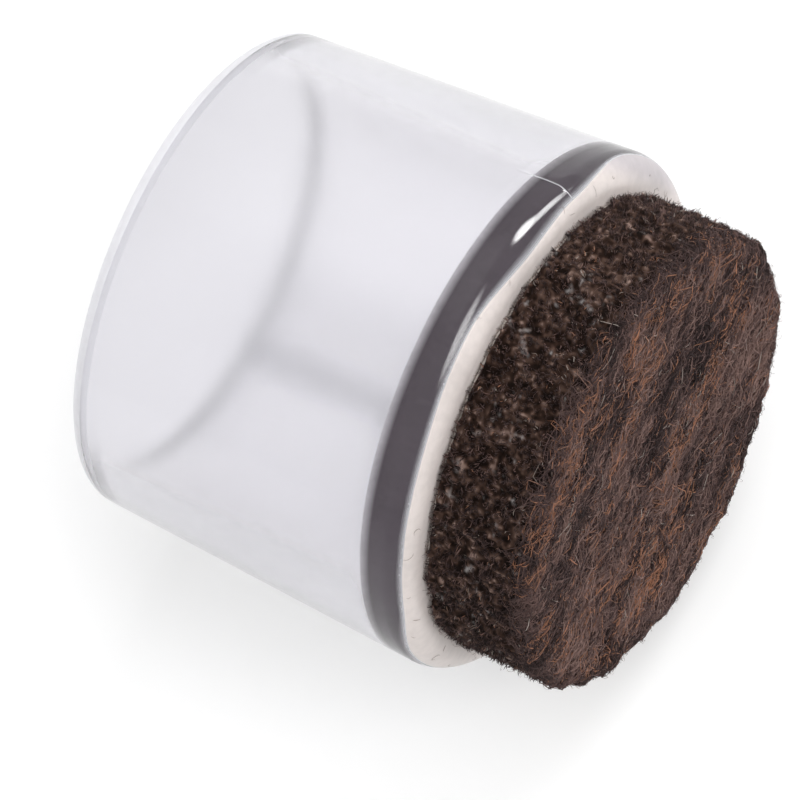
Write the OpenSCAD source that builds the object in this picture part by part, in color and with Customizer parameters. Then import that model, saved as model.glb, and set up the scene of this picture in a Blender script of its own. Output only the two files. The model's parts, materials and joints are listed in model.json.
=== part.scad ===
// Slip-on cap for a round chair leg: a clear moulded sleeve with a steel washer on the floor
// of its socket and a thick felt pad glued under its foot. It stands upright on the felt,
// with the socket's mouth at the top. All sizes are in millimetres.

/* [Leg socket] */
// Diameter of the leg that the socket takes
leg_d = 19; // [14:0.5:40]
// Depth of the socket, from the washer's top face to the mouth
socket_depth = 14.7; // [8:0.1:40]
// Radius of the lead-in round the inner edge of the mouth
lead_in_r = 0.5; // [0.2:0.1:0.8]

/* [Cap moulding] */
// Wall thickness at the foot
foot_wall = 2.5; // [1.5:0.1:5]
// Wall thickness at the mouth, thinner than at the foot for mould draft
mouth_wall = 1.6; // [1.2:0.1:5]
// Thickness of the floor under the washer
floor_t = 1; // [0.6:0.1:4]
// Radius of the rounded edge round the foot
foot_round_r = 1.2; // [0.4:0.1:1.6]
// Radius of the rounded outer edge of the mouth
lip_round_r = 0.6; // [0.1:0.1:0.6]

/* [Washer] */
// Thickness of the washer
washer_t = 2; // [0.8:0.1:4]
// Diameter of the washer's centre hole
washer_hole_d = 10.5; // [4:0.5:12]
// Bevel that breaks the washer's upper edges
washer_bevel = 0.2; // [0.05:0.05:0.3]
// Step by which the washer's seat is narrower than the socket, all round
seat_step = 0.2; // [0.1:0.05:0.6]
// Gap between the washer's rim and its seat, all round
washer_gap = 0.05; // [0.02:0.01:0.2]

/* [Felt pad] */
// Thickness of the felt
felt_t = 5; // [2:0.1:12]
// Distance of the felt's rim inside the flat of the foot
felt_margin = 0.3; // [0.1:0.1:2]
// Radius of the felt's worn edge at the tread
felt_tread_r = 0.7; // [0.2:0.1:0.9]
// Radius of the felt's die-cut edge at the foot
felt_cut_r = 0.3; // [0.1:0.1:0.6]
// Thickness of the adhesive between felt and foot
glue_t = 0.2; // [0.1:0.05:0.6]
// Distance of the adhesive's rim inside the felt's rim
glue_margin = 0.5; // [0.2:0.1:2]

/* [Hidden] */
$fn = 128;

// Radii, from the axis outwards
hole_r = washer_hole_d / 2;
socket_r = leg_d / 2;
seat_r = socket_r - seat_step;
washer_r = seat_r - washer_gap;
foot_r = socket_r + foot_wall;
mouth_r = socket_r + mouth_wall;
felt_r = foot_r - foot_round_r - felt_margin;
glue_r = felt_r - glue_margin;

// Heights, from the felt's tread upwards
foot_z = felt_t + glue_t;
seat_z = foot_z + floor_t;
socket_z = seat_z + washer_t;
mouth_z = socket_z + socket_depth;

// Arc that rounds a corner, as its radius, its centre and the way from there to the corner
foot_arc = [foot_round_r, [foot_r - foot_round_r, foot_z + foot_round_r], [1, -1]];
lip_arc = [lip_round_r, [mouth_r - lip_round_r, mouth_z - lip_round_r], [1, 1]];
lead_in_arc = [lead_in_r, [socket_r + lead_in_r, mouth_z - lead_in_r], [-1, 1]];
tread_arc = [felt_tread_r, [felt_r - felt_tread_r, felt_tread_r], [1, -1]];
cut_arc = [felt_cut_r, [felt_r - felt_cut_r, felt_t - felt_cut_r], [1, 1]];

// Ends of such an arc: level with its centre, and straight above or below it
function side_end(arc) = arc[1] + [arc[2].x * arc[0], 0];
function face_end(arc) = arc[1] + [0, arc[2].y * arc[0]];

// Quarter disc that fills the notch between an arc's centre and its ends
module quarter(arc) {
    reach = 2 * arc[0] * arc[2];
    translate(arc[1]) intersection() {
        circle(arc[0]);
        polygon([[0, 0], [reach.x, 0], reach, [0, reach.y]]);
    }
}

// Half section of the moulding: rounded foot, drafted wall, lip, lead-in, socket and washer seat
module cap_section() {
    polygon([
        [0, foot_z], face_end(foot_arc), foot_arc[1], side_end(foot_arc),
        side_end(lip_arc), lip_arc[1], face_end(lip_arc),
        face_end(lead_in_arc), lead_in_arc[1], side_end(lead_in_arc),
        [socket_r, socket_z], [seat_r, socket_z], [seat_r, seat_z], [0, seat_z]
    ]);
    quarter(foot_arc);
    quarter(lip_arc);
    quarter(lead_in_arc);
}

// Half section of the washer, with its upper edges bevelled
module washer_section() {
    polygon([
        [hole_r, seat_z], [washer_r, seat_z],
        [washer_r, socket_z - washer_bevel], [washer_r - washer_bevel, socket_z],
        [hole_r + washer_bevel, socket_z], [hole_r, socket_z - washer_bevel]
    ]);
}

// Half section of the felt: flat tread, upright side, both edges rounded
module felt_section() {
    polygon([
        [0, 0], face_end(tread_arc), tread_arc[1], side_end(tread_arc),
        side_end(cut_arc), cut_arc[1], face_end(cut_arc), [0, felt_t]
    ]);
    quarter(tread_arc);
    quarter(cut_arc);
}

module clear_cap() {
    color([0.9, 0.9, 0.93, 0.45]) rotate_extrude() cap_section();
}

module steel_washer() {
    color([0.42, 0.41, 0.43]) rotate_extrude() washer_section();
}

module adhesive_disc() {
    color([0.86, 0.82, 0.76]) translate([0, 0, felt_t]) cylinder(r = glue_r, h = glue_t);
}

module felt_pad() {
    color([0.3, 0.22, 0.2]) rotate_extrude() felt_section();
}

clear_cap();
steel_washer();
adhesive_disc();
felt_pad();
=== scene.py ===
import json
import math

import bpy
import numpy as np
from mathutils import Matrix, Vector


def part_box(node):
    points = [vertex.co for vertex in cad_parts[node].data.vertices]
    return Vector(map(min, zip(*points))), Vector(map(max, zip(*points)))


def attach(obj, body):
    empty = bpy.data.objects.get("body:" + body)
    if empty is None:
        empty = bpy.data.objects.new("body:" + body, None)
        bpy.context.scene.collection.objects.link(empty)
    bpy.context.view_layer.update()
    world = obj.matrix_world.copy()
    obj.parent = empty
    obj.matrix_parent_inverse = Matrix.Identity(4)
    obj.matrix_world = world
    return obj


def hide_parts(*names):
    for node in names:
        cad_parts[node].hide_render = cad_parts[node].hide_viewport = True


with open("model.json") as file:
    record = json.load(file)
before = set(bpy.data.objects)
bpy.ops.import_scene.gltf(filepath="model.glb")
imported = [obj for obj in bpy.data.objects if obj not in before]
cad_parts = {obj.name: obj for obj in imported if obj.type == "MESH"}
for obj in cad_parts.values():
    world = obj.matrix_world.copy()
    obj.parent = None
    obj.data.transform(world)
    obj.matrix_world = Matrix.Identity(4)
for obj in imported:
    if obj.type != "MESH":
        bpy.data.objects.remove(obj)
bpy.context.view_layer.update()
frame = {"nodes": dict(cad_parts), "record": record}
mm = 0.001
fullTurn = 2.0 * math.pi
scene = bpy.context.scene
print("frame loaded, solids:", sorted(frame["nodes"]))


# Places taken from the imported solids
capLow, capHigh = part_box("clear_cap")
washerLow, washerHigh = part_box("steel_washer")
glueLow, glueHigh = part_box("adhesive_disc")
feltLow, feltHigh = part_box("felt_pad")
mounts = {m["name"]: m for m in frame["record"]["mounts"]}
socketRadius = mounts["leg_socket"]["dims"]["r_mm"] * mm


# The picture's view: the cap's axis is followed from the mouth to the felt
photoView = {
    "axisTurn": 23.92,            # degrees clockwise from the picture's right
    "axisTilt": 22.3,             # degrees towards the camera
    "tableLean": 15.0,            # degrees about the axis from facing the camera to the table's upright
    "footPixel": (553.5, 418.8),  # middle of the foot's flat
    "footDistance": 480.0 * mm,   # along the view
    "focalPixels": 11156.0,
    "framePixels": 800,
    "sensor": 36.0,
    "upSide": (-math.sqrt(0.5), math.sqrt(0.5), 0.0),  # side of the cap that is away from the table
}


def unit(v):
    v = np.asarray(v, float)
    return v / np.linalg.norm(v, axis=-1, keepdims=True)


# Turn from the part's axes to the picture's (right, down, forward). Two directions are known in both: the
# axis, and the table's upright, which is square to the axis and leans from the camera to the picture's top.
def pictureAxes(view):
    turn, tilt, lean = np.radians([view["axisTurn"], view["axisTilt"], view["tableLean"]])
    axis = np.array([math.cos(tilt) * math.cos(turn), math.cos(tilt) * math.sin(turn), -math.sin(tilt)])
    above = np.array([math.sin(turn), -math.cos(turn), 0.0])
    normal = math.cos(lean) * np.cross(axis, above) + math.sin(lean) * above
    ownAxis, ownNormal = np.array([0.0, 0.0, -1.0]), np.array(view["upSide"])
    seen = np.stack([axis, normal, np.cross(axis, normal)], axis=1)
    own = np.stack([ownAxis, ownNormal, np.cross(ownAxis, ownNormal)], axis=1)
    return seen @ own.T


def addCamera(view, axes):
    half, depth, focal = view["framePixels"] / 2, view["footDistance"], view["focalPixels"]
    across, below = ((p - half) * depth / focal for p in view["footPixel"])
    lens = bpy.data.cameras.new("photo_camera")
    lens.sensor_width = view["sensor"]
    lens.lens = focal * view["sensor"] / view["framePixels"]
    lens.clip_start, lens.clip_end = 0.01, 5.0
    camera = bpy.data.objects.new("photo_camera", lens)
    scene.collection.objects.link(camera)
    right, down, forward = axes
    place = np.eye(4)
    place[:3, :3] = np.stack([right, -down, -forward], axis=1)
    place[:3, 3] = np.array([0.0, 0.0, capLow.z]) - axes.T @ np.array([across, below, depth])
    camera.matrix_world = Matrix(place.tolist())
    scene.camera = camera


axes = pictureAxes(photoView)
addCamera(photoView, axes)
print("camera placed")


# Mesh of a grid of points, rows by columns. The columns close on themselves; the rows close too where
# loop is true, and otherwise the first and last row shrink to one point each.
def turnedMesh(name, points, loop=False, slots=None):
    rows, cols = points.shape[:2]
    ring = np.arange(rows * cols).reshape(rows, cols)
    low = ring if loop else ring[:-1]
    high = np.roll(ring, -1, axis=0) if loop else ring[1:]
    quads = np.stack([low, np.roll(low, -1, axis=1), np.roll(high, -1, axis=1), high], axis=-1).reshape(-1, 4)
    verts = points.reshape(-1, 3)
    corners, counts = quads.ravel(), np.full(len(quads), 4)
    if not loop:
        verts = np.vstack([verts, points[0].mean(axis=0), points[-1].mean(axis=0)])
        first, last = np.full(cols, rows * cols), np.full(cols, rows * cols + 1)
        lowFan = np.stack([first, np.roll(ring[0], -1), ring[0]], axis=-1)
        highFan = np.stack([last, ring[-1], np.roll(ring[-1], -1)], axis=-1)
        corners = np.concatenate([corners, lowFan.ravel(), highFan.ravel()])
        counts = np.concatenate([counts, np.full(2 * cols, 3)])
    piece = meshPiece(name, verts, corners, counts)
    if slots is not None:
        ends = [] if loop else [slots[0], slots[-1]]
        slots = np.concatenate([slots.ravel(), *ends]).astype(np.int32)
        piece.data.polygons.foreach_set("material_index", slots)
    return piece


# Puts whole arrays of points, face corners and face sizes into a smooth mesh
def meshPiece(name, verts, corners, counts):
    mesh = bpy.data.meshes.new(name)
    mesh.vertices.add(len(verts))
    mesh.vertices.foreach_set("co", np.asarray(verts, np.float32).ravel())
    mesh.loops.add(len(corners))
    mesh.loops.foreach_set("vertex_index", np.asarray(corners, np.int32))
    mesh.polygons.add(len(counts))
    mesh.polygons.foreach_set("loop_start", np.concatenate([[0], np.cumsum(counts)[:-1]]).astype(np.int32))
    mesh.update(calc_edges=True)
    mesh.validate()
    mesh.polygons.foreach_set("use_smooth", np.ones(len(counts), bool))
    piece = bpy.data.objects.new(name, mesh)
    scene.collection.objects.link(piece)
    return piece


# Points at a radius, a turn about the axis and a height
def aboutAxis(radius, theta, height):
    return np.stack(np.broadcast_arrays(radius * np.cos(theta), radius * np.sin(theta), height), axis=-1)


# Turns about the axis in even steps, once round
def evenTurns(count):
    return np.linspace(0.0, fullTurn, count, endpoint=False)


# Points of a rounded corner, from one angle to another about its middle, in degrees
def arc(middle, radius, start, end, count):
    t = np.radians(np.linspace(start, end, count))
    return np.stack([middle[0] + radius * np.cos(t), middle[1] + radius * np.sin(t)], axis=1)


# Points along a straight run, its two ends included
def run(start, end, count):
    return np.linspace(start, end, count)


# Sum of a few waves round the axis with seeded heights and phases; its standard deviation is about one
def ripple(theta, seed, waves):
    dice = np.random.default_rng(seed)
    waves = np.asarray(waves, float)
    phase = dice.uniform(0, fullTurn, len(waves))
    height = dice.uniform(0.5, 1.0, len(waves)) * math.sqrt(2.6 / len(waves))
    return (np.sin(theta[..., None] * waves + phase) * height).sum(axis=-1)


# Smooth noise: seeded values on a cubic lattice, blended with a smooth step in the three directions
def latticeNoise(points, cell, seed):
    dice = np.random.default_rng(seed)
    table = dice.uniform(-1.0, 1.0, (32, 32, 32))
    p = np.asarray(points) / cell
    base = np.floor(p).astype(int)
    f = p - base
    f = f * f * (3.0 - 2.0 * f)
    total = 0.0
    for corner in np.ndindex(2, 2, 2):
        i, j, k = ((base[..., a] + corner[a]) % 32 for a in range(3))
        share = np.prod([f[..., a] if corner[a] else 1.0 - f[..., a] for a in range(3)], axis=0)
        total = total + table[i, j, k] * share
    return total


# Shader helpers
def newMaterial(name):
    material = bpy.data.materials.new(name)
    material.use_nodes = True
    return material, material.node_tree, material.node_tree.nodes["Principled BSDF"]


# Puts numbers and colours into a node's inputs, and links what comes from other nodes
def plugIn(tree, node, values):
    for key, value in values.items():
        if isinstance(value, bpy.types.NodeSocket):
            tree.links.new(value, node.inputs[key])
        else:
            node.inputs[key].default_value = value


def addNode(tree, kind, inputs=None, **settings):
    node = tree.nodes.new(kind)
    for key, value in settings.items():
        setattr(node, key, value)
    plugIn(tree, node, inputs or {})
    return node


def ownPlace(tree):
    return addNode(tree, "ShaderNodeTexCoord").outputs["Object"]


def partsOf(tree, vector):
    return addNode(tree, "ShaderNodeSeparateXYZ", {"Vector": vector}).outputs


def mathOf(tree, operation, first, second):
    return addNode(tree, "ShaderNodeMath", {0: first, 1: second}, operation=operation).outputs[0]


def vectorOf(tree, operation, first, second):
    return addNode(tree, "ShaderNodeVectorMath", {0: first, 1: second}, operation=operation).outputs["Value"]


def mixLevel(tree, share, first, second):
    inputs = {"Factor": share, 2: first, 3: second}
    return addNode(tree, "ShaderNodeMix", inputs, data_type="FLOAT").outputs[0]


def mixColours(tree, share, first, second, blend="MIX"):
    inputs = {"Factor": share, 6: first, 7: second}
    return addNode(tree, "ShaderNodeMix", inputs, data_type="RGBA", blend_type=blend).outputs[2]


def rangeFrom(tree, value, low, high, toLow, toHigh, kind="LINEAR"):
    inputs = {"Value": value, "From Min": low, "From Max": high, "To Min": toLow, "To Max": toHigh}
    return addNode(tree, "ShaderNodeMapRange", inputs, interpolation_type=kind).outputs["Result"]


def bumpFrom(tree, height, strength, distance):
    inputs = {"Height": height, "Strength": strength, "Distance": distance}
    return addNode(tree, "ShaderNodeBump", inputs).outputs["Normal"]


def rampFrom(tree, value, stops):
    node = addNode(tree, "ShaderNodeValToRGB", {"Fac": value})
    elements = node.color_ramp.elements
    while len(elements) < len(stops):
        elements.new(1.0)
    for element, (place, colour) in zip(elements, stops):
        element.position = place
        element.color = (*colour, 1.0)
    return node.outputs["Color"]


# Group: soft blotches over fine specks, as a value from 0 to 1
def mottleGroup():
    group = bpy.data.node_groups.new("surfaceMottle", "ShaderNodeTree")
    for label, kind in (("Coordinates", "Vector"), ("Blotch Scale", "Float"), ("Speck Scale", "Float"),
                        ("Speck Share", "Float")):
        group.interface.new_socket(name=label, in_out="INPUT", socket_type="NodeSocket" + kind)
    group.interface.new_socket(name="Mottle", in_out="OUTPUT", socket_type="NodeSocketFloat")
    given = addNode(group, "NodeGroupInput").outputs
    noises = []
    for label, detail in (("Blotch Scale", 3.0), ("Speck Scale", 6.0)):
        inputs = {"Vector": given["Coordinates"], "Scale": given[label], "Detail": detail}
        noises.append(addNode(group, "ShaderNodeTexNoise", inputs).outputs["Fac"])
    addNode(group, "NodeGroupOutput", {"Mottle": mixLevel(group, given["Speck Share"], *noises)})
    return group


mottle = mottleGroup()


# The mottle with its blotches' scale and its specks', per metre, and the specks' share
def addMottle(tree, settings):
    inputs = dict(zip(("Blotch Scale", "Speck Scale", "Speck Share"), settings))
    inputs["Coordinates"] = ownPlace(tree)
    return addNode(tree, "ShaderNodeGroup", inputs, node_tree=mottle).outputs["Mottle"]


# Colour that a mottle darkens and lightens, by pairs of the mottle's value and the share of the colour
def mottled(tree, spread, colour, *stops):
    return rampFrom(tree, spread, [(value, tuple(share * c for c in colour)) for value, share in stops])


# The moulded cap
cap = {
    "turns": 480,
    "seed": 3,
    "footRound": 1.2 * mm,
    "lipRound": 0.6 * mm,
    "leadIn": 0.5 * mm,
    "mouthRadius": 11.1 * mm,
    "seatStep": 0.2 * mm,
    "seatSlope": 0.5 * mm,       # height over which the socket narrows to the washer's seat
    "seatDrop": 0.05 * mm,       # the socket's wall ends this far under the washer's top
    "poleRing": 0.4 * mm,        # radius of the first and the last ring
    "flatStrips": 9,
    "soleStrips": 8,             # strips of the foot's round that the pale glue covers
    "clearStrips": 14,
    "wallStrips": 39,
    "lipStrips": 9,
    "rimStrips": 2,
    "leadInStrips": 8,
    # how far up the foot's round the glue reaches, as pairs of turn and angle in degrees
    "soleEdge": ((40, 63), (62, 45), (96, 45), (128, 54), (152, 29), (170, 39), (195, 69), (230, 62),
                 (270, 50), (310, 58), (345, 70)),
    "soleRipple": 0.15,
    "waver": 0.0008 * mm,        # slow unevenness of the moulded wall
    "waverPace": (210.0, 330.0),  # how fast it changes along the height, in radians per metre
    "fadeRings": 6,              # it fades out over this many rings of the lip
    "creaseAngle": 35.0,
    "seamTurn": 169.5,           # where the mould parted, in degrees; the other line is opposite
    "seamRise": 0.02 * mm,
    "seamWidth": 0.06 * mm,
    "seamMiddle": 1.0 * mm,      # height above the foot
    "seamReach": 1.4 * mm,
    "tint": (0.992, 0.988, 0.998),
    "shadeLineTurn": -45.0,           # turn and half width of a dark line of painted shade along the side that touches the table, and its tint
    "shadeLineWidth": 1.3 * mm,
    "shadeLineTint": (0.76, 0.76, 0.775),
    "shadeLineFront": 4.0 * mm,       # distance from the axis at which it has its full tint
    "index": 1.5,
    "polish": (0.06, 0.11),      # roughness outside, and inside the socket
    "satin": (0.16, 0.24),
    "clearMottle": (120.0, 900.0, 0.3),
    "frostMottle": (400.0, 2600.0, 0.5),
    "lipRough": 0.4,
    "lipThrough": 0.4,           # how clear the lip's outer edge is, and the mouth inside it
    "mouthThrough": 0.8,
    "lipTint": (0.97, 0.97, 1.0),
    "edgeThrough": (0.52, 0.68, 0.82, 0.93),  # the plastic clears in steps above the pale sole
    "edgeRough": 0.6,
    "seamThrough": 0.45,
    "seamRough": 0.2,
    "edgeTint": (0.90, 0.91, 0.95),
    "soleColour": (0.75, 0.68, 0.65),
    "soleMottle": (300.0, 2500.0, 0.4),
    "soleRough": 0.35,
    "shadedTurn": 207.0,           # painted shade: the pale sole is greyer round this turn
    "shadedFrom": (0.87, 0.96),    # in parts of the foot's radius towards that turn
    "shadedTint": (0.70, 0.71, 0.77),
}


# Half section of the cap as rings from the axis under the foot to the axis on the socket's floor, the
# material of each strip between rings, and how much of the wall's unevenness each ring takes. The materials
# are 0 polished wall, 1 pale sole, 2 satin inside, 3 lip, 4 to 7 edge of the sole, 8 seam and 9 mouth.
def capSection(s):
    footR, mouthR, socketR = capHigh.x, s["mouthRadius"], socketRadius
    footZ, mouthZ, floorZ, stepZ = capLow.z, capHigh.z, washerLow.z, washerHigh.z
    fr, lr, li = s["footRound"], s["lipRound"], s["leadIn"]
    seatR, seatZ, dropZ = socketR - s["seatStep"], stepZ - s["seatSlope"], stepZ - s["seatDrop"]
    roundStrips = s["soleStrips"] + s["clearStrips"]
    parts = [
        run((s["poleRing"], footZ), (footR - fr, footZ), s["flatStrips"] + 1),
        arc((footR - fr, footZ + fr), fr, -90, 0, roundStrips + 1)[1:],
        run((footR, footZ + fr), (mouthR, mouthZ - lr), s["wallStrips"] + 1)[1:],
        arc((mouthR - lr, mouthZ - lr), lr, 0, 90, s["lipStrips"] + 1)[1:],
        run((mouthR - lr, mouthZ), (socketR + li, mouthZ), s["rimStrips"] + 1)[1:],
        arc((socketR + li, mouthZ - li), li, 90, 180, s["leadInStrips"] + 1)[1:],
        run((socketR, mouthZ - li), (socketR, dropZ), 24)[1:],
        run((socketR, dropZ), (seatR, seatZ), 3)[1:],
        run((seatR, seatZ), (seatR, floorZ), 4)[1:],
        run((seatR, floorZ), (s["poleRing"], floorZ), 10)[1:],
    ]
    profile = np.vstack(parts)
    strips = np.full(len(profile) - 1, 2)
    soleEnd = s["flatStrips"] + s["soleStrips"]
    wallEnd = s["flatStrips"] + roundStrips + s["wallStrips"]
    lipEnd = wallEnd + s["lipStrips"]
    strips[:wallEnd] = 0
    strips[wallEnd:lipEnd] = 3
    strips[lipEnd:lipEnd + s["rimStrips"] + s["leadInStrips"]] = 9
    strips[:soleEnd] = 1
    strips[soleEnd:soleEnd + len(s["edgeThrough"])] = 4 + np.arange(len(s["edgeThrough"]))
    rings = np.arange(len(profile))
    rise = np.clip((rings - soleEnd) / s["clearStrips"], 0.0, 1.0)
    fall = np.clip((wallEnd + s["fadeRings"] - rings) / s["fadeRings"], 0.0, 1.0)
    return profile, strips, rise * fall


# Blend between pairs of turn and value with a smooth step, closed round the full turn
def roundBlend(theta, pairs):
    turns, values = np.array(pairs, float).T
    turns = np.radians(np.append(turns, turns[0] + 360.0))
    values = np.append(values, values[0])
    theta = (theta - turns[0]) % fullTurn + turns[0]
    k = np.clip(np.searchsorted(turns, theta, side="right") - 1, 0, len(turns) - 2)
    f = (theta - turns[k]) / (turns[k + 1] - turns[k])
    return values[k] + (values[k + 1] - values[k]) * f * f * (3.0 - 2.0 * f)


# Section turned about the axis. On the foot's round the rings shift so that one of them follows the sole's
# uneven edge. The outer radius gains a slow ripple that changes along the height, and near the foot a narrow
# bell-shaped, frosted ridge at each of the two parting lines.
def makeCap(s):
    profile, strips, share = capSection(s)
    near = np.linspace(-2.5, 2.5, 11) * s["seamWidth"] / capHigh.x
    seam = math.radians(s["seamTurn"])
    theta = np.concatenate([evenTurns(s["turns"]), seam + near, seam + math.pi + near])
    theta = np.unique(theta % fullTurn)
    off = ((theta - seam + 0.5 * math.pi) % math.pi) - 0.5 * math.pi
    radius, height = (np.repeat(profile[:, k:k + 1], len(theta), axis=1) for k in range(2))
    edge = roundBlend(theta, s["soleEdge"]) + s["soleRipple"] * ripple(theta, s["seed"] + 3, range(9, 40))
    edge = np.radians(edge)
    low, high, fr = s["soleStrips"], s["clearStrips"], s["footRound"]
    t = np.vstack([edge * np.arange(low)[:, None] / low,
                   edge + (0.5 * math.pi - edge) * np.arange(high + 1)[:, None] / high])
    onRound = slice(s["flatStrips"], s["flatStrips"] + low + high + 1)
    radius[onRound] = capHigh.x - fr + fr * np.sin(t)
    height[onRound] = capLow.z + fr * (1.0 - np.cos(t))
    ridge = s["seamRise"] * np.exp(-(off * capHigh.x / s["seamWidth"]) ** 2)
    fade = np.exp(-((profile[:, 1:] - capLow.z - s["seamMiddle"]) / s["seamReach"]) ** 4)
    slow = ripple(theta, s["seed"], range(2, 9)) * np.sin(height * s["waverPace"][0])
    slow = slow + ripple(theta, s["seed"] + 1, range(3, 14)) * np.cos(height * s["waverPace"][1])
    radius = np.minimum(radius + share[:, None] * (ridge * fade + s["waver"] * slow), capHigh.x)
    points = aboutAxis(radius, theta, height)
    onSeam = np.abs(off + 0.25 * s["seamWidth"] / capHigh.x) < 0.6 * s["seamWidth"] / capHigh.x
    rows = np.arange(len(strips)) - s["flatStrips"] - low
    nearFoot = (fade[:-1, 0] > 0.5) & (rows >= 0) & (rows < high + s["wallStrips"])
    piece = turnedMesh("moulded_cap", points, slots=np.where(onSeam & nearFoot[:, None], 8, strips[:, None]))
    piece.data.set_sharp_from_angle(angle=math.radians(s["creaseAngle"]))
    return piece


# Clear plastic whose tint deepens along one soft line up the wall, as painted shade along the side that
# touches the table
def clearPlastic(s, name, rough):
    material, tree, shader = newMaterial(name)
    inputs = {"Vector": ownPlace(tree), "Angle": -math.radians(s["shadeLineTurn"])}
    turned = addNode(tree, "ShaderNodeVectorRotate", inputs, rotation_type="Z_AXIS")
    parts = partsOf(tree, turned.outputs["Vector"])
    aside = addNode(tree, "ShaderNodeMath", {0: parts["Y"]}, operation="ABSOLUTE").outputs[0]
    width = s["shadeLineWidth"]
    narrow = rangeFrom(tree, aside, 0.1 * width, width, 1.0, 0.0, "SMOOTHSTEP")
    front = rangeFrom(tree, parts["X"], 0.0, s["shadeLineFront"], 0.0, 1.0)
    # painted shade: mask of the dark line on the table's side of the wall
    line = mathOf(tree, "MULTIPLY", narrow, front)
    spread = addMottle(tree, s["clearMottle"])
    plugIn(tree, shader, {
        "Base Color": rampFrom(tree, line, [(0.0, s["tint"]), (1.0, s["shadeLineTint"])]),
        "Roughness": rangeFrom(tree, spread, 0.35, 0.65, *rough),
        "Transmission Weight": 1.0,
        "IOR": s["index"],
    })
    return material


# Frosted plastic: paler and cloudy, and only partly see-through
def frostedPlastic(s, name, through, rough, colour):
    material, tree, shader = newMaterial(name)
    spread = addMottle(tree, s["frostMottle"])
    plugIn(tree, shader, {
        "Base Color": mottled(tree, spread, colour, (0.38, 0.93), (0.6, 1.0)),
        "Roughness": rangeFrom(tree, spread, 0.35, 0.65, 0.8 * rough, 1.2 * rough),
        "Transmission Weight": through,
        "IOR": s["index"],
    })
    return material


# Pale glue under the plastic, mottled, with painted shade that greys it towards one side
def paleSole(s):
    material, tree, shader = newMaterial("pale_sole")
    shadedSide = math.radians(s["shadedTurn"])
    near = vectorOf(tree, "DOT_PRODUCT", ownPlace(tree), (math.cos(shadedSide), math.sin(shadedSide), 0.0))
    start, end = (k * capHigh.x for k in s["shadedFrom"])
    share = rangeFrom(tree, near, start, end, 0.0, 1.0, "SMOOTHSTEP")
    pale = mottled(tree, addMottle(tree, s["soleMottle"]), s["soleColour"], (0.35, 0.85), (0.6, 1.0))
    # painted shade: greyer towards one side of the foot
    shade = mixColours(tree, share, pale, (*s["shadedTint"], 1.0), "MULTIPLY")
    plugIn(tree, shader, {"Base Color": shade, "Roughness": s["soleRough"]})
    return material


capPiece = makeCap(cap)
finishes = [
    clearPlastic(cap, "polished_clear_plastic", cap["polish"]),
    paleSole(cap),
    clearPlastic(cap, "satin_clear_plastic", cap["satin"]),
    frostedPlastic(cap, "frosted_lip", cap["lipThrough"], cap["lipRough"], cap["lipTint"]),
]
for letter, through in zip("abcd", cap["edgeThrough"]):
    rough = cap["edgeRough"] * (1.1 - through)
    finishes.append(frostedPlastic(cap, "sole_edge_" + letter, through, rough, cap["edgeTint"]))
finishes += [
    frostedPlastic(cap, "frosted_seam", cap["seamThrough"], cap["seamRough"], cap["edgeTint"]),
    frostedPlastic(cap, "frosted_mouth", cap["mouthThrough"], cap["lipRough"], cap["lipTint"]),
]
for finish in finishes:
    capPiece.data.materials.append(finish)
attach(capPiece, "root")
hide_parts("clear_cap")
print("cap made")


# The washer on the socket's floor
washer = {
    "turns": 192,
    "wetted": 0.07 * mm,      # its rim touches the plastic, so no air shows between them
    "sunk": 0.005 * mm,       # its underside lies this far in the plastic
    "bevel": 0.1 * mm,
    "holeRadius": 5.25 * mm,
    "rimStrips": (7, 3, 2, 2),  # strips of each straight side, from the underside's hole to the upper edge
    "faceStrips": (7, 2, 3),    # and from there through the hole
    # colour of the rim by height: its foot, its middle, a darker band, and a pale band along the upper edge
    "rimColours": ((0.0, (0.160, 0.144, 0.164)), (0.4, (0.126, 0.102, 0.123)), (0.78, (0.098, 0.077, 0.093)),
                   (1.0, (0.86, 0.84, 0.87))),
    "rimMottle": (400.0, 4000.0, 0.5),
    "rimRough": (0.35, 0.5),
    "faceColour": (0.46, 0.45, 0.47),
    "faceMottle": (300.0, 5000.0, 0.6),
    "faceRough": (0.32, 0.5),
    "creaseAngle": 30.0,
}


# Closed section, flared to the socket's wall at the top and bevelled on its upper edges, turned about the
# axis. Material 0 is the rim and the underside, material 1 the upper face and the hole.
def makeWasher(s):
    inner, outer = s["holeRadius"], washerHigh.x + s["wetted"]
    low, high, b = washerLow.z - s["sunk"], washerHigh.z, s["bevel"]
    wide, slope = outer + cap["seatStep"], cap["seatSlope"]
    corners = [(inner, low), (outer, low), (outer, high - slope), (wide, high - 0.5 * b), (wide - b, high),
               (inner + b, high), (inner, high - b), (inner, low)]
    sides = zip(corners, corners[1:], s["rimStrips"] + s["faceStrips"])
    section = np.vstack([run(start, end, strips + 1)[:-1] for start, end, strips in sides])
    theta = evenTurns(s["turns"])
    points = aboutAxis(section[:, :1], theta, section[:, 1:])
    kinds = np.repeat([0, 1], [sum(s["rimStrips"]), sum(s["faceStrips"])])
    piece = turnedMesh("washer_disc", points, loop=True, slots=np.repeat(kinds[:, None], s["turns"], axis=1))
    piece.data.set_sharp_from_angle(angle=math.radians(s["creaseAngle"]))
    return piece


# Rim seen through the plastic: dull and dark, with a pale band along its upper edge
def dullRim(s):
    material, tree, shader = newMaterial("dull_rim")
    spread = addMottle(tree, s["rimMottle"])
    way = rangeFrom(tree, partsOf(tree, ownPlace(tree))["Z"], washerLow.z, washerHigh.z, 0.0, 1.0)
    patches = mottled(tree, spread, (1.0, 1.0, 1.0), (0.35, 0.8), (0.65, 1.1))
    plugIn(tree, shader, {
        "Base Color": mixColours(tree, 1.0, rampFrom(tree, way, s["rimColours"]), patches, "MULTIPLY"),
        "Roughness": rangeFrom(tree, spread, 0.3, 0.7, *s["rimRough"]),
        "Metallic": 1.0,
    })
    return material


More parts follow.
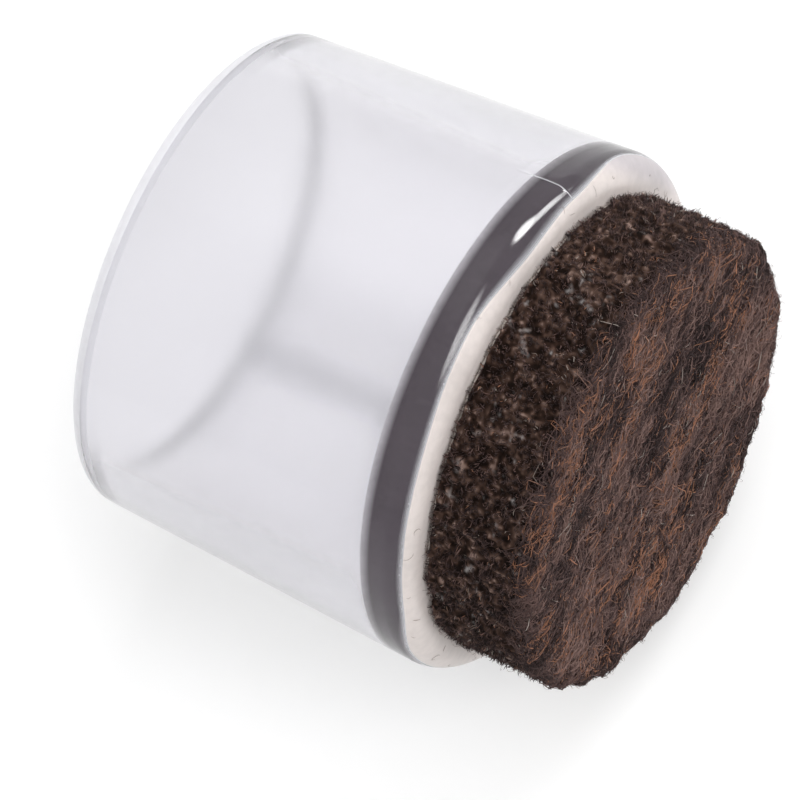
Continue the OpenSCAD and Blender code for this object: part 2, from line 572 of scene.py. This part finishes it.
def stampedSteel(s):
    material, tree, shader = newMaterial("stamped_steel")
    spread = addMottle(tree, s["faceMottle"])
    plugIn(tree, shader, {
        "Base Color": mottled(tree, spread, s["faceColour"], (0.35, 0.75), (0.65, 1.1)),
        "Roughness": rangeFrom(tree, spread, 0.3, 0.7, *s["faceRough"]),
        "Normal": bumpFrom(tree, spread, 0.25, 0.02 * mm),
        "Metallic": 0.9,
    })
    return material


washerPiece = makeWasher(washer)
washerPiece.data.materials.append(dullRim(washer))
washerPiece.data.materials.append(stampedSteel(washer))
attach(washerPiece, "root")
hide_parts("steel_washer")
print("washer made")


# The glue between the foot and the felt, squeezed out a little round the felt's edge
glue = {
    "turns": 420,
    "seed": 5,
    "rim": 10.18 * mm,
    "ragged": 0.06 * mm,
    "evenRadius": 9.0 * mm,   # inside this the glue's form is even
    "evenFade": 1.0 * mm,
    "edgeBand": 0.4 * mm,     # from the end of the flat to the round of the rim
    "topGap": 0.01 * mm,      # its top is this far under the foot
    "poleRing": 0.5 * mm,
    "colour": (0.74, 0.68, 0.63),
    "mottle": (350.0, 2500.0, 0.5),
    "rough": 0.5,
}


# Flat disc with a round rim whose radius wanders by two ripples; its top lies just under the foot
def makeGlue(s):
    theta = evenTurns(s["turns"])
    coarse = ripple(theta, s["seed"], np.arange(3, 40))
    fine = ripple(theta, s["seed"] + 1, np.arange(40, 140))
    low, high = glueLow.z, glueHigh.z - s["topGap"]
    half = 0.5 * (high - low)
    flatEnd = s["rim"] - half - s["edgeBand"]
    section = np.vstack([run((s["poleRing"], low), (flatEnd, low), 5),
                         arc((s["rim"] - half, low + half), half, -90, 90, 9),
                         run((flatEnd, high), (s["poleRing"], high), 5)])
    outside = np.clip((section[:, :1] - s["evenRadius"]) / s["evenFade"], 0.0, 1.0)
    radius = section[:, :1] + s["ragged"] * (coarse + 0.6 * fine) * outside
    return turnedMesh("glue_spread", aboutAxis(radius, theta, section[:, 1:]))


def paleGlue(s):
    material, tree, shader = newMaterial("pale_glue")
    colour = mottled(tree, addMottle(tree, s["mottle"]), s["colour"], (0.3, 0.8), (0.65, 1.0))
    plugIn(tree, shader, {"Base Color": colour, "Roughness": s["rough"]})
    return material


gluePiece = makeGlue(glue)
gluePiece.data.materials.append(paleGlue(glue))
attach(gluePiece, "root")
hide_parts("adhesive_disc")
print("glue made")


# The felt pad: a dense core under loose fibres
felt = {
    "seed": 11,
    "treadRound": 0.7 * mm,
    "cutRound": 0.25 * mm,
    "plump": 0.12 * mm,           # the fibrous surface stands this far out of the die-cut rim
    "coreInset": 0.14 * mm,       # depth of the core under the pad's outline
    "edgeRipple": 0.07 * mm,
    "lumps": 0.10 * mm,
    "lumpCells": (1.5 * mm, 0.6 * mm),
    "grains": 0.10 * mm,
    "grainCells": (0.36 * mm, 0.17 * mm),
    "topGap": 0.03 * mm,          # its top is this far under the foot
    "coreTurns": 960,
    "grainAngle": 24.0,           # degrees from X that the tread's fibres run along
    "grainSpread": 31.0,
    "swirl": 28.0,                # degrees by which they wander together
    "swirlCell": 1.2 * mm,
    "acrossShare": 0.42,          # share of the tread's fibres that lie any way
    "wrap": 0.6 * mm,             # the tread's fibres lie this far round its edge
    "faceFibres": 30000,
    "faceParts": 4,               # pieces that the tread's fibres are shared among
    "sideTufts": 9000,
    "sideParts": 3,
    "tuftFibres": 3,
    "fuzzHairs": 3000,
    "shedHairs": 34,
    # depth at which fibres start in the core, and their least and greatest width in millimetres
    "faceRoot": 0.20 * mm,
    "tuftRoot": 0.26 * mm,
    "fuzzRoot": 0.15 * mm,
    "faceWidth": (0.022, 0.048),
    "tuftWidth": (0.022, 0.045),
    "fuzzWidth": (0.011, 0.018),
    "shedWidth": (0.009, 0.018),
    "shedLift": 0.012 * mm,       # shed hairs lie this far off the sole
    # colours by a fibre's tone, from dark over brown and russet to pale
    "fibreColours": ((0.0, (0.022, 0.015, 0.015)), (0.25, (0.092, 0.061, 0.058)),
                     (0.5, (0.195, 0.121, 0.107)), (0.6, (0.255, 0.164, 0.142)),
                     (0.65, (0.29, 0.148, 0.098)), (0.85, (0.44, 0.205, 0.122)),
                     (0.9, (0.25, 0.20, 0.17)), (1.0, (0.50, 0.44, 0.40))),
    # colours of the core by its height in the grain, with painted shade darkening the hollows and painted
    # light on the peaks, and of its pale tufts
    "coreShadeColours": ((0.2, (0.006, 0.003, 0.002)), (0.45, (0.026, 0.014, 0.010)),
                    (0.7, (0.088, 0.053, 0.041)), (0.95, (0.31, 0.215, 0.18))),
    "paleColour": (0.27, 0.25, 0.245),
    "coreMottle": (900.0, 9000.0, 0.6),
}


# Fine grain of the felt: two sizes of lattice noise, from about -1 to 1
def feltGrain(place, f):
    wide, fine = f["grainCells"]
    return 0.5 * latticeNoise(place, wide, f["seed"] + 5) + 0.9 * latticeNoise(place, fine, f["seed"] + 6)


# A place on the pad: s is the way from the middle of the tread over its rounded edge, up the side and over
# the upper edge; theta is the turn; lift is the height above the surface. The rim wanders by a ripple, and
# the surface has lumps and, most on the side, grains of lattice noise.
def onFelt(s, theta, lift, f):
    rt, rc = f["treadRound"], f["cutRound"]
    rim, top = feltHigh.x + f["plump"], glueHigh.z - f["topGap"]
    flat = rim - rt
    side = flat + 0.5 * math.pi * rt
    upper = side + top - rt - rc
    end = upper + 0.5 * math.pi * rc
    a = np.clip((s - flat) / rt, 0.0, 0.5 * math.pi)
    b = np.clip((s - upper) / rc, 0.0, 0.5 * math.pi)
    radius = np.minimum(s, flat) + rt * np.sin(a) - rc * (1.0 - np.cos(b)) - np.maximum(s - end, 0.0)
    height = rt * (1.0 - np.cos(a)) + np.clip(s - side, 0.0, upper - side) + rc * np.sin(b)
    outward = np.where(s < upper, np.sin(a), np.cos(b))
    upward = np.where(s < upper, -np.cos(a), np.sin(b))
    place = aboutAxis(radius, theta, height)
    big, small = f["lumpCells"]
    lumps = latticeNoise(place, big, f["seed"]) + 0.7 * latticeNoise(place, small, f["seed"] + 4) - 0.6
    rough = f["lumps"] * lumps + f["grains"] * feltGrain(place, f) * (0.55 + 0.45 * np.sin(a))
    lift = lift + rough * np.clip((end - s) / rc, 0.0, 1.0)
    fine = ripple(theta, f["seed"] + 1, np.arange(30, 110))
    wander = f["edgeRipple"] * (ripple(theta, f["seed"], np.arange(2, 34)) + 0.6 * fine)
    radius = radius + lift * outward + wander * np.clip(radius / rim, 0.0, 1.0) ** 6
    return aboutAxis(radius, theta, feltLow.z + height + lift * upward)


# The way from the middle of the tread to the end of the upper edge
def feltReach(f):
    rt, rc = f["treadRound"], f["cutRound"]
    return feltHigh.x + f["plump"] - 2 * rt - rc + 0.5 * math.pi * (rt + rc) + glueHigh.z


# Core: the pad's surface sunk by an even inset, closed over the top. Two values go with each point: how high
# it stands in the grain, which sets painted shade in the hollows and painted light on the peaks, and on the
# side where a pale tuft shows.
def makeFeltCore(f):
    reach = feltReach(f)
    inner = feltHigh.x - f["treadRound"] - 0.5 * mm
    s = np.concatenate([np.linspace(0.1 * mm, inner, 24)[:-1], np.linspace(inner, reach, 76)[:-1],
                        np.linspace(reach, reach + feltHigh.x - 0.8 * mm, 5)])
    theta = evenTurns(f["coreTurns"])
    s, theta = np.meshgrid(s, theta, indexing="ij")
    sunk = np.where(s > reach, 0.1 * mm, f["coreInset"])
    points = onFelt(s, theta, -sunk, f)
    piece = turnedMesh("felt_core", points)
    # painted shade: the value rises with the grain's height, so that the core darkens in its hollows
    grainShade = 0.44 + 0.46 * feltGrain(points, f) + 0.12 * latticeNoise(points, 0.9 * mm, f["seed"] + 2)
    pale = 0.8 * latticeNoise(points, 0.5 * mm, f["seed"] + 3)
    pale = pale + 0.6 * latticeNoise(points, 0.17 * mm, f["seed"] + 12)
    aside = np.clip((s - inner) / (0.8 * mm), 0.0, 1.0)
    for label, values in (("grainShade", grainShade), ("pale", np.clip((pale - 0.60) / 0.5, 0.0, 1.0) * aside)):
        layer = piece.data.attributes.new(label, "FLOAT", "POINT")
        poles = [0.5 * (label == "grainShade")] * 2
        layer.data.foreach_set("value", np.concatenate([values.ravel(), poles]).astype(np.float32))
    return piece


# Fibres: three-sided tubes on many paths at once, tapered to both ends and closed there. The map holds
# the fibre's tone across and the way along it upwards.
def fibrePiece(name, paths, width, tone, seed):
    dice = np.random.default_rng(seed)
    count, knots = paths.shape[:2]
    along = np.linspace(0.0, 1.0, knots)
    tangent = unit(np.gradient(paths, axis=1))
    guess = unit(dice.normal(size=(count, 1, 3)))
    side = unit(np.cross(tangent, guess))
    other = np.cross(tangent, side)
    taper = 1.0 - 0.75 * np.abs(2.0 * along - 1.0) ** 3
    radius = 0.5 * width[:, None] * taper
    angle = np.arange(3) * fullTurn / 3
    ring = side[:, :, None] * np.cos(angle)[:, None] + other[:, :, None] * np.sin(angle)[:, None]
    verts = paths[:, :, None] + radius[..., None, None] * ring
    index = np.arange(count * knots * 3).reshape(count, knots, 3)
    low, high = index[:, :-1], index[:, 1:]
    quads = np.stack([low, np.roll(low, -1, axis=2), np.roll(high, -1, axis=2), high], axis=-1)
    ends = np.concatenate([index[:, 0, ::-1], index[:, -1]])
    corners = np.concatenate([quads.ravel(), ends.ravel()])
    counts = np.concatenate([np.full(quads.size // 4, 4), np.full(len(ends), 3)])
    piece = meshPiece(name, verts.reshape(-1, 3), corners, counts)
    u = np.broadcast_to(tone[:, None, None] + 0.003 * (np.arange(3) - 1.0), index.shape).ravel()
    v = np.broadcast_to(along[None, :, None], index.shape).ravel()
    layer = piece.data.uv_layers.new(name="OFBake")
    layer.data.foreach_set("uv", np.stack([u[corners], v[corners]], axis=1).astype(np.float32).ravel())
    return piece


# Tone of a tread fibre from 0, dark, over 0.5, brown, to 0.8, russet, and 1, pale: lighter and darker drifts
# run along the grain, the russet ones keep together, and the rim is darker with fewer russet fibres, as
# painted shade of the tread's rounded edge
def fibreTones(x, y, dice, f):
    turn = math.radians(f["grainAngle"])
    along, across = x * math.cos(turn) + y * math.sin(turn), y * math.cos(turn) - x * math.sin(turn)
    drift = np.stack([along * 0.35, across, 0 * x], axis=-1)
    shade = 0.9 * latticeNoise(drift, 1.9 * mm, f["seed"] + 7)
    shade = shade + latticeNoise(drift, 0.5 * mm, f["seed"] + 8)
    warm = 0.7 * latticeNoise(drift, 1.7 * mm, f["seed"] + 9)
    warm = warm + 0.8 * latticeNoise(drift, 0.4 * mm, f["seed"] + 10)
    pick = dice.uniform(size=x.shape)
    tone = np.clip(0.36 + 0.33 * shade + 0.19 * dice.normal(size=x.shape), 0.01, 0.60)
    inside = np.clip((feltHigh.x - 0.1 * mm - np.hypot(x, y)) / (0.9 * mm), 0.0, 1.0)
    # painted shade: tones darken towards the rim
    tone = tone * (0.6 + 0.4 * inside)
    russet = 0.165 * np.clip(0.3 + 3.0 * warm, 0.1, 3.5) * (0.4 + 0.6 * inside)
    tone = np.where(pick < russet, dice.uniform(0.62, 0.86, x.shape), tone)
    return np.where(pick > 0.99, dice.uniform(0.90, 0.98, x.shape), tone)


# Tread fibres: waved lines laid along the grain, each dipping into the core at its ends; some lie across
def makeFaceFibres(f, part):
    dice = np.random.default_rng(f["seed"] + 20 + part)
    count = f["faceFibres"] // f["faceParts"]
    t = np.linspace(0.0, 1.0, 5)
    start = (feltHigh.x + f["wrap"] * dice.uniform(0.5, 1.0, count)) * np.sqrt(dice.uniform(0.0, 1.0, count))
    turn = dice.uniform(0.0, fullTurn, count)
    x, y = start * np.cos(turn), start * np.sin(turn)
    swirl = f["swirl"] * latticeNoise(np.stack([x, y, 0 * x], axis=-1), f["swirlCell"], f["seed"] + 13)
    isAcross = dice.uniform(size=count) < f["acrossShare"]
    anyWay = 90.0 * dice.uniform(-1, 1, count)
    spread = np.where(isAcross, anyWay, swirl + f["grainSpread"] * dice.normal(size=count))
    heading = np.radians(f["grainAngle"] + spread)
    length = mm * np.clip(dice.lognormal(math.log(1.0), 0.5, count), 0.4, 3.2)
    wave = dice.normal(0.0, 0.18, (count, 2)) * length[:, None]
    bend = wave[:, :1] * np.sin(math.pi * t) + 0.7 * wave[:, 1:] * np.sin(2 * math.pi * t)
    ahead = length[:, None] * (t - 0.5)
    px = x[:, None] + ahead * np.cos(heading)[:, None] - bend * np.sin(heading)[:, None]
    py = y[:, None] + ahead * np.sin(heading)[:, None] + bend * np.cos(heading)[:, None]
    rise = mm * dice.uniform(-0.12, 0.06, count)[:, None]
    lift = -f["faceRoot"] + (rise + f["faceRoot"]) * np.sin(math.pi * t) ** 0.7
    paths = onFelt(np.hypot(px, py), np.arctan2(py, px), lift, f)
    width = mm * dice.uniform(*f["faceWidth"], count)
    tone = fibreTones(x, y, dice, f)
    return fibrePiece("felt_face_" + "abcd"[part], paths, width, tone, f["seed"] + 40 + part)


# Side tufts: knots of short cut ends that start together in the core and spread out of the side
def makeSideTufts(f, part):
    dice = np.random.default_rng(f["seed"] + 60 + part)
    tufts, each = f["sideTufts"] // f["sideParts"], f["tuftFibres"]
    t = np.linspace(0.0, 1.0, 4)
    middleS = dice.uniform(feltHigh.x, feltReach(f) - 0.1 * mm, tufts)
    middleT = dice.uniform(0.0, fullTurn, tufts)
    lean = dice.normal(0.0, 0.06 * mm, (2, tufts))
    high = mm * dice.uniform(-0.10, 0.05, tufts)
    knot = dice.uniform(size=tufts)
    base = np.where(knot > 0.97, dice.uniform(0.88, 0.95, tufts), 0.66 * dice.beta(0.75, 2.4, tufts))
    spread = dice.normal(0.0, 0.09 * mm, (2, tufts, each))
    curl = dice.normal(0.0, 0.06 * mm, (2, tufts, each))
    way = (lean[..., None] + spread)[..., None] * t + curl[..., None] * np.sin(math.pi * t)
    ps = (middleS[:, None, None] + way[0]).reshape(-1, 4)
    pt = (middleT[:, None, None] + way[1] / feltHigh.x).reshape(-1, 4)
    tip = (high[:, None] + dice.normal(0.0, 0.05 * mm, (tufts, each))).reshape(-1, 1)
    lift = -f["tuftRoot"] + (tip + f["tuftRoot"]) * t ** 0.7
    paths = onFelt(ps, pt, lift, f)
    width = mm * dice.uniform(*f["tuftWidth"], tufts * each)
    tone = np.clip(np.repeat(base, each) + 0.05 * dice.normal(size=tufts * each), 0.01, 0.99)
    return fibrePiece("felt_side_" + "abcd"[part], paths, width, tone, f["seed"] + 70 + part)


# Stray hairs: they leave the surface anywhere, more at the edges, and curl up into the air
def makeFuzz(f):
    dice = np.random.default_rng(f["seed"] + 80)
    count = f["fuzzHairs"]
    t = np.linspace(0.0, 1.0, 5)
    reach = feltReach(f)
    edge = np.where(dice.uniform(size=count) < 0.6, feltHigh.x - 0.3 * f["treadRound"], reach - 0.1 * mm)
    atEdge = dice.uniform(size=count) < 0.55
    nearEdge = dice.normal(edge, 0.4 * mm, count)
    s = np.minimum(np.where(atEdge, nearEdge, dice.uniform(3.0 * mm, reach, count)), reach)
    theta = dice.uniform(0.0, fullTurn, count)
    heading = dice.uniform(0.0, fullTurn, count)
    length = mm * np.clip(dice.lognormal(math.log(0.4), 0.4, count), 0.2, 1.0)
    turned = heading[:, None] + dice.normal(0.0, 0.8, count)[:, None] * t
    step = length[:, None] / 4
    ps = s[:, None] + np.cumsum(step * np.sin(turned), axis=1) * 0.7
    pt = theta[:, None] + np.cumsum(step * np.cos(turned), axis=1) * 0.7 / feltHigh.x
    rise = mm * np.clip(dice.lognormal(math.log(0.09), 0.5, count), 0.03, 0.25)
    lift = -f["fuzzRoot"] + (rise + f["fuzzRoot"])[:, None] * np.sin(0.75 * math.pi * t)
    paths = onFelt(np.minimum(ps, reach), pt, lift, f)
    width = mm * dice.uniform(*f["fuzzWidth"], count)
    tone = 0.12 + 0.45 * dice.beta(1.5, 1.5, count)
    return fibrePiece("felt_fuzz", paths, width, tone, f["seed"] + 81)


# Shed hairs: short bent lines that lie on the pale sole
def makeShed(f):
    dice = np.random.default_rng(f["seed"] + 90)
    count = f["shedHairs"]
    t = np.linspace(0.0, 1.0, 7)
    reach = dice.uniform(0.0, 0.75, count)[:, None]
    turn = dice.uniform(0.0, fullTurn, count)[:, None]
    heading = dice.uniform(0.0, fullTurn, count)[:, None] + dice.normal(0.0, 2.2, (count, 1)) * t
    step = mm * dice.uniform(0.15, 0.8, count)[:, None] / 6
    fr = cap["footRound"]
    a = np.clip(reach + np.cumsum(step * np.sin(heading), axis=1) / fr, 0.0, 0.9)
    theta = turn + np.cumsum(step * np.cos(heading), axis=1) / capHigh.x
    out = fr + f["shedLift"]
    radius, height = capHigh.x - fr + out * np.sin(a), capLow.z + fr - out * np.cos(a)
    paths = aboutAxis(radius, theta, height)
    width = mm * dice.uniform(*f["shedWidth"], count)
    tone = 0.2 + 0.4 * dice.beta(1.5, 1.5, count)
    return fibrePiece("felt_shed", paths, width, tone, f["seed"] + 91)


def fibreWool(f):
    material, tree, shader = newMaterial("felt_fibre")
    tone = partsOf(tree, addNode(tree, "ShaderNodeUVMap", uv_map="OFBake").outputs["UV"])["X"]
    colour = rampFrom(tree, tone, f["fibreColours"])
    plugIn(tree, shader, {"Base Color": colour, "Roughness": 0.75, "Specular IOR Level": 0.15})
    return material


def denseWool(f):
    material, tree, shader = newMaterial("felt_dense")
    grainShade, pale = (addNode(tree, "ShaderNodeAttribute", attribute_name=label) for label in ("grainShade", "pale"))
    # painted shade: darker core colour in the grain's hollows, lighter on its peaks
    colour = rampFrom(tree, grainShade.outputs["Fac"], f["coreShadeColours"])
    plugIn(tree, shader, {
        "Base Color": mixColours(tree, pale.outputs["Fac"], colour, (*f["paleColour"], 1.0)),
        "Normal": bumpFrom(tree, addMottle(tree, f["coreMottle"]), 0.5, 0.06 * mm),
        "Roughness": 0.95,
        "Specular IOR Level": 0.1,
    })
    return material


feltCore = makeFeltCore(felt)
feltCore.data.materials.append(denseWool(felt))
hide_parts("felt_pad")
wool = fibreWool(felt)
fibrePieces = [makeFaceFibres(felt, part) for part in range(felt["faceParts"])]
fibrePieces += [makeSideTufts(felt, part) for part in range(felt["sideParts"])]
fibrePieces += [makeFuzz(felt), makeShed(felt)]
for piece in fibrePieces:
    piece.data.materials.append(wool)
for piece in [feltCore] + fibrePieces:
    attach(piece, "root")
print("felt made:", sum(len(p.data.polygons) for p in fibrePieces), "fibre faces")


# White stage: the table that the cap lies on in the picture, and a floor for the upright part
stage = {
    "halfSide": 0.6,
    "tableDraft": (0.9, 15.9),    # the wall narrows by the first in the length of the second
    "tableGap": 0.01 * mm,
    "floorDrop": 0.06 * mm,
    "albedo": 0.74,
    "glow": 0.285,
    # away from the part, between these two distances, the glow rises to the third
    "glowFar": (0.06, 0.30, 0.70),
    # on the table it also rises by this much, between two distances from the place under a pixel
    "nearLift": {"pixel": (430.0, 360.0), "start": 14.0 * mm, "end": 20.0 * mm, "glow": 0.06},
    "glowMirrored": 0.2,
    # seen through the plastic the paper is a little bluer and greyer, on the table less so in a pool of light
    "tintThrough": (0.964, 0.957, 1.0),
    "glowThrough": 0.14,
    "pool": {"pixel": (370.0, 440.0), "reach": 19.0 * mm, "glow": 0.45},
}


def flatSheet(name, middle, normal):
    n = unit(normal)
    a = unit(np.cross(n, [0.0, 0.0, 1.0] if abs(n[2]) < 0.9 else [1.0, 0.0, 0.0]))
    b = np.cross(n, a)
    signs = np.array([(-1, -1), (1, -1), (1, 1), (-1, 1)], float) * stage["halfSide"]
    verts = np.asarray(middle) + signs[:, :1] * a + signs[:, 1:] * b
    piece = meshPiece(name, verts, np.arange(4), np.array([4]))
    return piece


# Level that depends on the kind of ray: for the camera, for reflections, seen through the plastic, for light
# that reaches a surface through the plastic, and for all other rays
def rayLevel(tree, seen, mirrored, through, behind, other):
    path = addNode(tree, "ShaderNodeLightPath")
    bounced = mathOf(tree, "MINIMUM", path.outputs["Diffuse Depth"], 1.0)
    level = other
    for share, number in ((path.outputs["Is Glossy Ray"], mirrored), (path.outputs["Is Camera Ray"], seen)):
        level = mixLevel(tree, share, level, number)
    inside = mixLevel(tree, bounced, through, behind)
    return mixLevel(tree, path.outputs["Is Transmission Ray"], level, inside)


# Point of the table under a pixel of the picture: the line from the camera through the pixel meets the
# table's plane
def underPixel(pixel):
    half, focal = photoView["framePixels"] / 2, photoView["focalPixels"]
    eye = np.array(scene.camera.matrix_world.translation)
    way = axes.T @ np.array([(pixel[0] - half) / focal, (pixel[1] - half) / focal, 1.0])
    return eye + way * (np.dot(tablePoint - eye, tableNormal) / np.dot(way, tableNormal))


# Pale paper: plain diffuse, with a glow that lifts the lit paper to white and keeps the shadow; its back is
# clear
def stagePaper(s, name):
    material, tree, shader = newMaterial(name)
    place = ownPlace(tree)
    start, end, far = s["glowFar"]
    away = vectorOf(tree, "DISTANCE", place, (0.0, 0.0, 0.0))
    seen = rangeFrom(tree, away, start, end, s["glow"], far, "SMOOTHSTEP")
    through = s["glowThrough"]
    if name == "table_paper":
        pool, lift = s["pool"], s["nearLift"]
        away = vectorOf(tree, "DISTANCE", place, underPixel(pool["pixel"]))
        through = rangeFrom(tree, away, 0.0, pool["reach"], pool["glow"], 0.0)
        away = vectorOf(tree, "DISTANCE", place, underPixel(lift["pixel"]))
        more = rangeFrom(tree, away, lift["start"], lift["end"], 0.0, lift["glow"], "SMOOTHSTEP")
        seen = mathOf(tree, "ADD", seen, more)
    tree.nodes.remove(shader)
    inside = addNode(tree, "ShaderNodeLightPath").outputs["Is Transmission Ray"]
    colours = []
    for level in (s["albedo"], 1.0):
        tinted = (*(level * c for c in s["tintThrough"]), 1.0)
        colours.append(mixColours(tree, inside, (level, level, level, 1.0), tinted))
    paper = addNode(tree, "ShaderNodeBsdfDiffuse", {"Color": colours[0]})
    strength = rayLevel(tree, seen, s["glowMirrored"], through, 0.0, 0.0)
    glow = addNode(tree, "ShaderNodeEmission", {"Color": colours[1], "Strength": strength})
    both = addNode(tree, "ShaderNodeAddShader", {0: paper.outputs[0], 1: glow.outputs[0]})
    clear = addNode(tree, "ShaderNodeBsdfTransparent")
    back = addNode(tree, "ShaderNodeNewGeometry").outputs["Backfacing"]
    pick = addNode(tree, "ShaderNodeMixShader", {"Fac": back, 1: both.outputs[0], 2: clear.outputs[0]})
    plugIn(tree, tree.nodes["Material Output"], {"Surface": pick.outputs[0]})
    return material


upSide = np.array(photoView["upSide"])
slope = math.atan2(*stage["tableDraft"])
tableNormal = upSide * math.cos(slope) + np.array([0.0, 0.0, -math.sin(slope)])
tablePoint = -upSide * (capHigh.x + stage["tableGap"]) + np.array([0.0, 0.0, capLow.z + cap["footRound"]])
table = flatSheet("table_paper", tablePoint, tableNormal)
floor = flatSheet("floor_paper", (0.0, 0.0, -stage["floorDrop"]), (0.0, 0.0, 1.0))
for sheet in (table, floor):
    sheet.data.materials.append(stagePaper(stage, sheet.name))
    sheet.visible_shadow = sheet.visible_diffuse = False
floor.visible_glossy = False          # some windows are below it
print("stage made")


# Light: an even white surround, three lamps (to the picture's right, above it, and over the upright part),
# and soft windows in the surround that only show in reflections. Ways in picture axes are right, down,
# forward; long is the way of a window's or lamp's longer side, and half its two half widths in degrees.
light = {
    "surround": 0.82,
    "mirrored": 0.75,
    "through": 0.77,
    "behind": 1.85,
    "windows": (
        {"way": (-0.317, -0.805, -0.503), "long": (1.0, 0.0, 0.0), "half": (26.0, 26.0), "level": 0.4},
        {"way": (0.550, -0.794, -0.254), "long": (0.585, 0.150, 0.797), "half": (24.0, 10.0), "level": 15.0},
        {"way": (0.340, -0.852, -0.398), "long": (-0.845, -0.458, 0.275), "half": (16.0, 9.0), "level": 22.0},
        {"way": (0.110, -0.232, -0.966), "long": (0.0, -1.0, 0.0), "half": (26.0, 15.0), "level": 10.0},
    ),
    "lamps": {
        "key": {"way": axes.T @ (0.62, 0.05, -0.78), "long": axes.T @ (0.0, -1.0, 0.0), "distance": 0.5,
                "size": (0.24, 0.20), "power": 0.75},
        "over": {"way": axes.T @ (0.30, -0.80, -0.52), "long": axes.T @ (1.0, 0.0, 0.0), "distance": 0.5,
                 "size": (0.3, 0.3), "power": 0.8},
        "top": {"way": (0.0, 0.0, 1.0), "long": (1.0, 0.0, 0.0), "distance": 0.5,
                "size": (0.3, 0.3), "power": 0.8},
    },
}


# Level of one soft window: highest at its middle, and nothing where the sum of the squares of the two ways
# off it, each in parts of its half width, reaches one
def windowLevel(tree, ray, w):
    way, long = (unit(axes.T @ np.array(w[key])) for key in ("way", "long"))
    aside = unit(np.cross(way, long))
    off = 0.0
    for side, half in zip((np.cross(aside, way), aside), w["half"]):
        part = vectorOf(tree, "DOT_PRODUCT", ray, side / math.sin(math.radians(half)))
        off = mathOf(tree, "ADD", mathOf(tree, "MULTIPLY", part, part), off)
    bump = rangeFrom(tree, off, 0.0, 1.0, w["level"], 0.0, "SMOOTHSTEP")
    ahead = mathOf(tree, "GREATER_THAN", vectorOf(tree, "DOT_PRODUCT", ray, way), 0.0)
    return mathOf(tree, "MULTIPLY", bump, ahead)


def addSurround(s):
    world = bpy.data.worlds.new("white_surround")
    world.use_nodes = True
    scene.world = world
    tree = world.node_tree
    ray = addNode(tree, "ShaderNodeTexCoord").outputs["Generated"]
    mirrored = s["mirrored"]
    for window in s["windows"]:
        mirrored = mathOf(tree, "ADD", mirrored, windowLevel(tree, ray, window))
    level = rayLevel(tree, 1.0, mirrored, s["through"], s["behind"], s["surround"])
    plugIn(tree, tree.nodes["Background"], {"Color": (1.0, 1.0, 1.0, 1.0), "Strength": level})


# A lamp at a distance along a way from the part's middle, which gives light but doesn't show in the plastic
def addLamp(name, s):
    data = bpy.data.lights.new(name, "AREA")
    data.shape, data.energy = "ELLIPSE", s["power"]
    data.size, data.size_y = s["size"]
    lamp = bpy.data.objects.new(name, data)
    scene.collection.objects.link(lamp)
    way = unit(s["way"])
    aside = unit(np.cross(way, s["long"]))
    place = np.eye(4)
    place[:3, :3] = np.stack([np.cross(aside, way), aside, way], axis=1)
    place[:3, 3] = np.array([0.0, 0.0, 0.5 * capHigh.z]) + way * s["distance"]
    lamp.matrix_world = Matrix(place.tolist())
    lamp.visible_camera = lamp.visible_glossy = lamp.visible_transmission = False


addSurround(light)
for name, settings in light["lamps"].items():
    addLamp(name + "_lamp", settings)
scene.view_settings.view_transform = "Standard"
print("light set")
